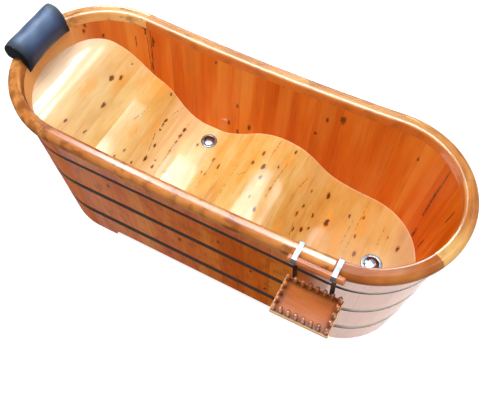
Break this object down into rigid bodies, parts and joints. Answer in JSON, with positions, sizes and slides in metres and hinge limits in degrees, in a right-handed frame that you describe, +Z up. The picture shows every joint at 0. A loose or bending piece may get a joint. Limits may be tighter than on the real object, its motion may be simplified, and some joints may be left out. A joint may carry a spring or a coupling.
{
  "type": "freestanding wooden bathtub",
  "caption": "Oval stave-built wooden bathtub with steel hoops, a curved reclining floor, plug drains, a headrest pad on the rim and a peg-sided basket hooked over the rim.",
  "frame": {"origin": "on the floor under the middle of the tub, on the underside of the centre batten", "axes": "+X along the tub from the head end to the foot end, +Y away from the basket side, +Z up"},
  "size_m": [1.5464, 0.728, 0.7597],
  "materials": {
    "wall_wood": "clear gloss lacquer over cedar boards",
    "rim_wood": "clear gloss lacquer",
    "base_wood": "sealed, not lacquered",
    "recliner_wood": "clear gloss lacquer over pale cedar",
    "hoop_steel": "black, satin",
    "drain_chrome": "polished",
    "drain_plastic": "moulded",
    "gasket_rubber": "matt",
    "pad_leather": "smooth imitation leather, satin",
    "basket_wood": "clear lacquer",
    "hook_chrome": "polished"
  },
  "bodies": {
    "tub": {"staves_near_side": "wall_wood", "staves_far_side": "wall_wood", "staves_head_end": "wall_wood", "staves_foot_end": "wall_wood", "rim_near_rail": "rim_wood", "rim_far_rail": "rim_wood", "rim_head_end": "rim_wood", "rim_foot_end": "rim_wood", "base_boards": "base_wood", "batten_head": "base_wood", "batten_centre": "base_wood", "batten_foot": "base_wood", "recliner_bearers": "base_wood", "recliner_backrest": "recliner_wood", "recliner_seat": "recliner_wood", "recliner_legs": "recliner_wood", "hoop_top": "hoop_steel", "hoop_middle": "hoop_steel", "hoop_bottom": "hoop_steel", "seat_drain_body": "drain_chrome", "foot_drain_body": "drain_chrome", "seat_drain_nut": "drain_plastic", "seat_drain_tail": "drain_plastic", "foot_drain_nut": "drain_plastic", "foot_drain_tail": "drain_plastic", "seat_drain_gasket": "gasket_rubber", "foot_drain_gasket": "gasket_rubber"},
    "seat_plug": {"seat_drain_plug": "drain_chrome"},
    "foot_plug": {"foot_drain_plug": "drain_chrome"},
    "headrest": {"headrest_pad": "pad_leather"},
    "basket": {"basket_tray": "basket_wood", "basket_pegs": "basket_wood", "basket_bar": "basket_wood", "basket_hooks": "hook_chrome", "basket_screws": "hook_chrome"}
  },
  "joints": [
    {"name": "seat_plug_rise", "type": "slide", "parent": "tub", "child": "seat_plug", "axis": [0, 0, 1], "range_m": [0, 0.008]},
    {"name": "foot_plug_rise", "type": "slide", "parent": "tub", "child": "foot_plug", "axis": [0, 0, 1], "range_m": [0, 0.008]},
    {"name": "headrest_lift", "type": "slide", "parent": "tub", "child": "headrest", "axis": [0, 0, 1], "range_m": [0, 0.15]},
    {"name": "basket_lift", "type": "slide", "parent": "tub", "child": "basket", "axis": [0, 0, 1], "range_m": [0, 0.12]}
  ]
}
